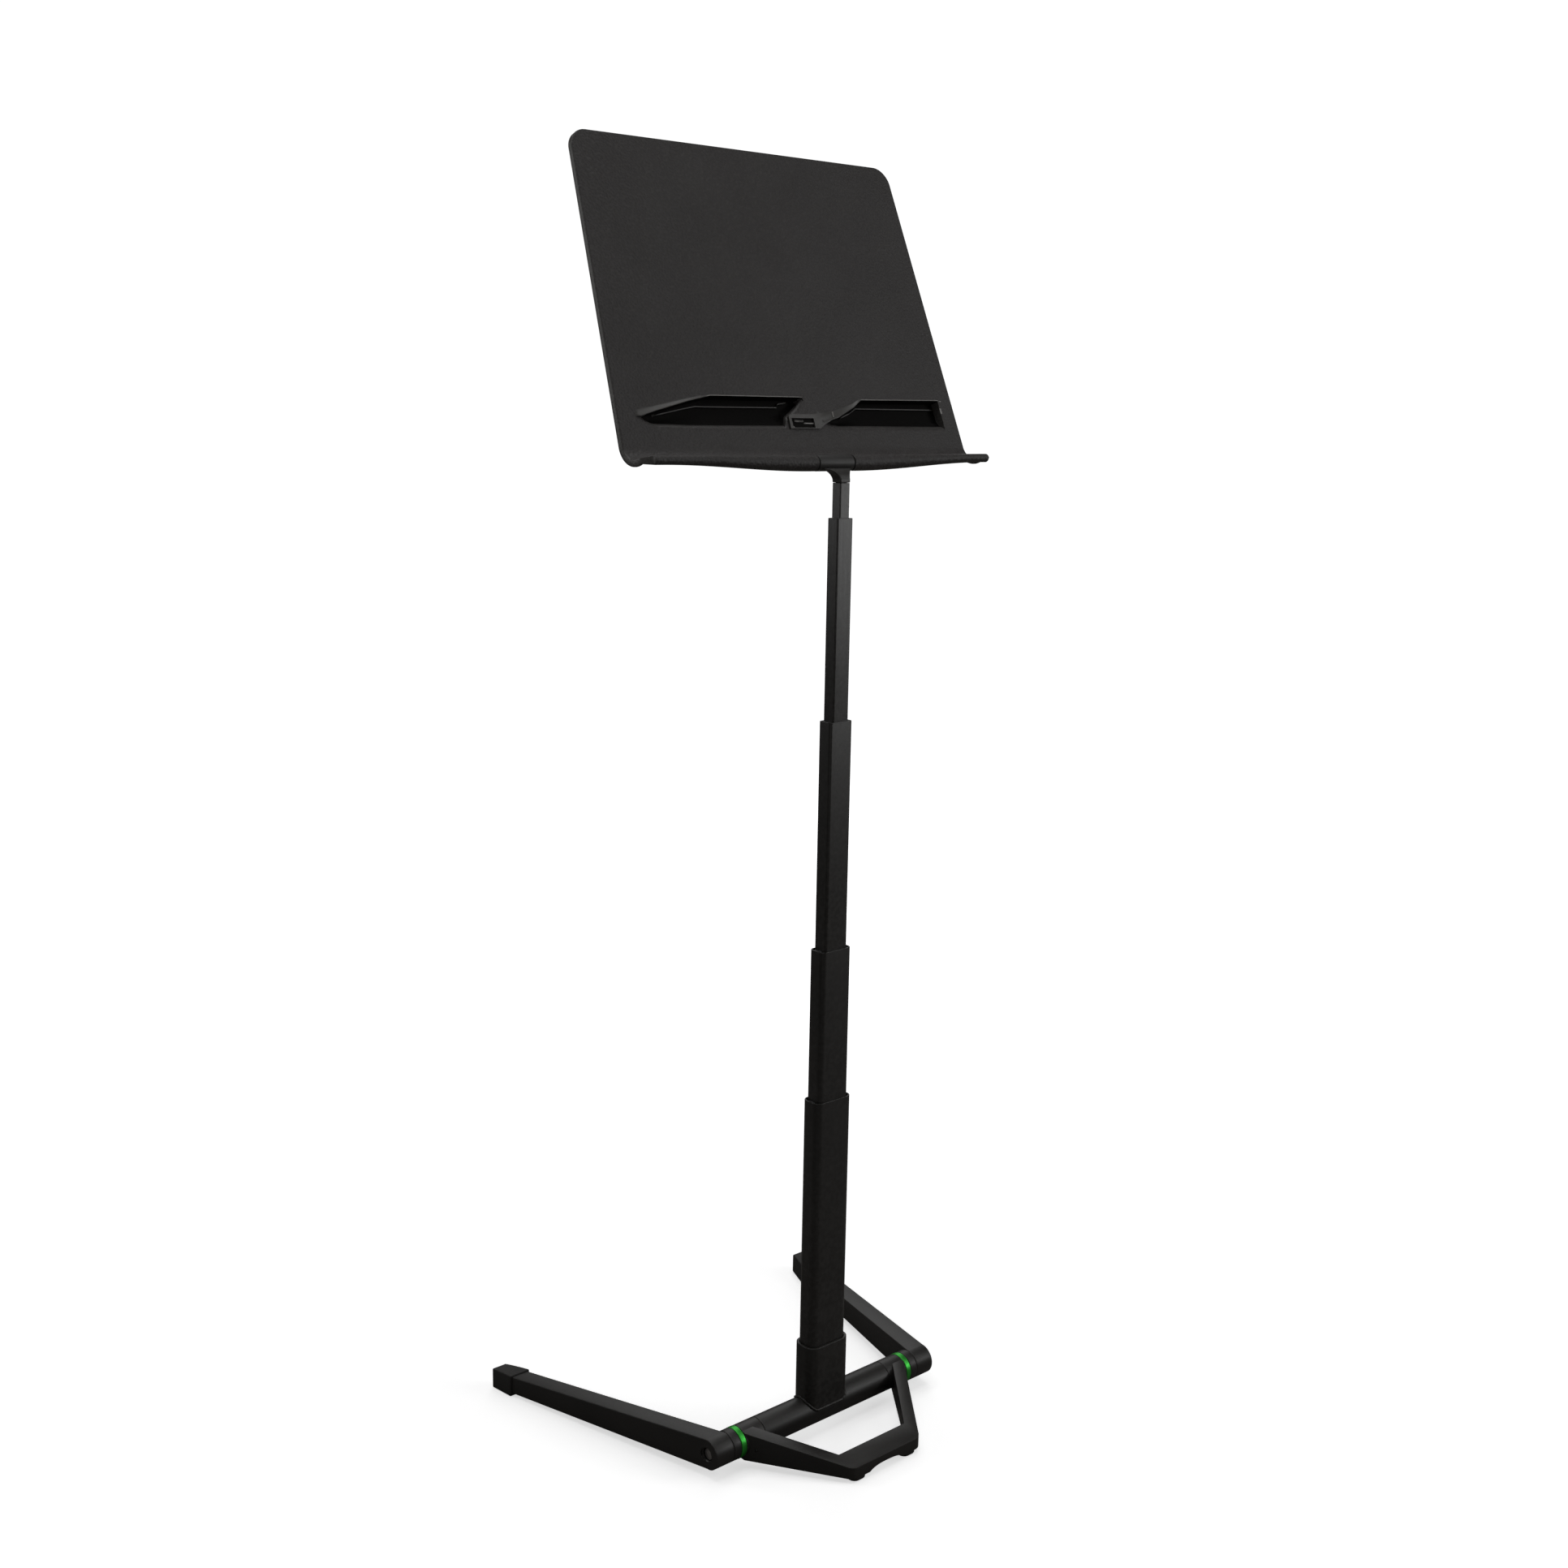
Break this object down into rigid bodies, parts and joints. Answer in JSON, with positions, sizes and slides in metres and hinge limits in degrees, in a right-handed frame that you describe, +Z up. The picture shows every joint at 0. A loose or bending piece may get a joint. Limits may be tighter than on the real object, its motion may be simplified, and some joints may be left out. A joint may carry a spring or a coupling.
{
  "type": "music stand",
  "caption": "Folding music stand with a tilting tray, a telescoping flat-sided mast, two splayed folding legs and a folding front foot.",
  "frame": {"origin": "on the floor under the middle of the stand's own footprint, front foot to leg caps", "axes": "+X across the tray towards the player's right, -Y towards the player, +Z up"},
  "size_m": [0.4744, 0.4044, 1.3643],
  "materials": {
    "black_paint": "satin black coated aluminium",
    "black_moulding": "fine grained black",
    "green_ring": "bright green anodised",
    "dark_steel": "dark zinc plated",
    "black_rubber": "matt black",
    "grey_plastic": "smooth grey"
  },
  "bodies": {
    "base": {"cross_tube": "black_paint", "axle_rod": "dark_steel", "axle_screw_left": "dark_steel", "axle_screw_right": "dark_steel", "tube_plug_left": "grey_plastic", "tube_plug_right": "grey_plastic", "ring_left": "green_ring", "ring_right": "green_ring", "lock_disc_left": "dark_steel", "lock_disc_right": "dark_steel", "base_socket": "black_paint", "mast_section_1": "black_paint", "guide_left_1": "grey_plastic", "guide_right_1": "grey_plastic"},
    "leg_left": {"leg_left": "black_paint", "leg_bush_left": "grey_plastic", "leg_cap_left": "black_rubber"},
    "leg_right": {"leg_right": "black_paint", "leg_bush_right": "grey_plastic", "leg_cap_right": "black_rubber"},
    "front_foot": {"front_foot": "black_paint", "foot_pad_left": "black_rubber", "foot_pad_right": "black_rubber", "set_screw_left": "dark_steel", "set_screw_right": "dark_steel"},
    "mast_2": {"mast_section_2": "black_paint", "section_plug_2": "grey_plastic", "guide_left_2": "grey_plastic", "guide_right_2": "grey_plastic"},
    "mast_3": {"mast_section_3": "black_paint", "section_plug_3": "grey_plastic", "guide_left_3": "grey_plastic", "guide_right_3": "grey_plastic"},
    "mast_4": {"mast_section_4": "black_paint", "section_plug_4": "grey_plastic", "guide_left_4": "grey_plastic", "guide_right_4": "grey_plastic"},
    "mast_5": {"mast_section_5": "black_paint", "section_plug_5": "grey_plastic", "hinge_head": "black_paint"},
    "tray": {"tray_desk": "black_moulding", "pocket_housing": "black_paint", "centre_catch": "dark_steel", "hinge_axle": "dark_steel", "friction_washer_left": "grey_plastic", "friction_washer_right": "grey_plastic", "housing_screw_1": "dark_steel", "housing_screw_2": "dark_steel", "housing_screw_3": "dark_steel", "housing_screw_4": "dark_steel", "housing_screw_5": "dark_steel", "housing_screw_6": "dark_steel", "housing_screw_7": "dark_steel", "housing_screw_8": "dark_steel"}
  },
  "joints": [
    {"name": "mast_slide_2", "type": "slide", "parent": "base", "child": "mast_2", "axis": [0, 0, 1], "range_m": [-0.157, 0.088]},
    {"name": "mast_slide_3", "type": "slide", "parent": "mast_2", "child": "mast_3", "axis": [0, 0, 1], "range_m": [-0.233, 0.009]},
    {"name": "mast_slide_4", "type": "slide", "parent": "mast_3", "child": "mast_4", "axis": [0, 0, 1], "range_m": [-0.198, 0.039]},
    {"name": "mast_slide_5", "type": "slide", "parent": "mast_4", "child": "mast_5", "axis": [0, 0, 1], "range_m": [-0.0265, 0.2045]},
    {"name": "tray_tilt", "type": "hinge", "parent": "mast_5", "child": "tray", "pos_m": [0, -0.08135, 1.052], "axis": [1, 0, 0], "range_deg": [-69, 201]},
    {"name": "leg_fold_left", "type": "hinge", "parent": "base", "child": "leg_left", "pos_m": [0, -0.09485, 0.0264], "axis": [1, 0, 0], "range_deg": [0, 92]},
    {"name": "leg_fold_right", "type": "hinge", "parent": "base", "child": "leg_right", "pos_m": [0, -0.09485, 0.0264], "axis": [1, 0, 0], "range_deg": [0, 92]},
    {"name": "foot_fold", "type": "hinge", "parent": "base", "child": "front_foot", "pos_m": [0, -0.09485, 0.0264], "axis": [1, 0, 0], "range_deg": [-76, 0]}
  ]
}
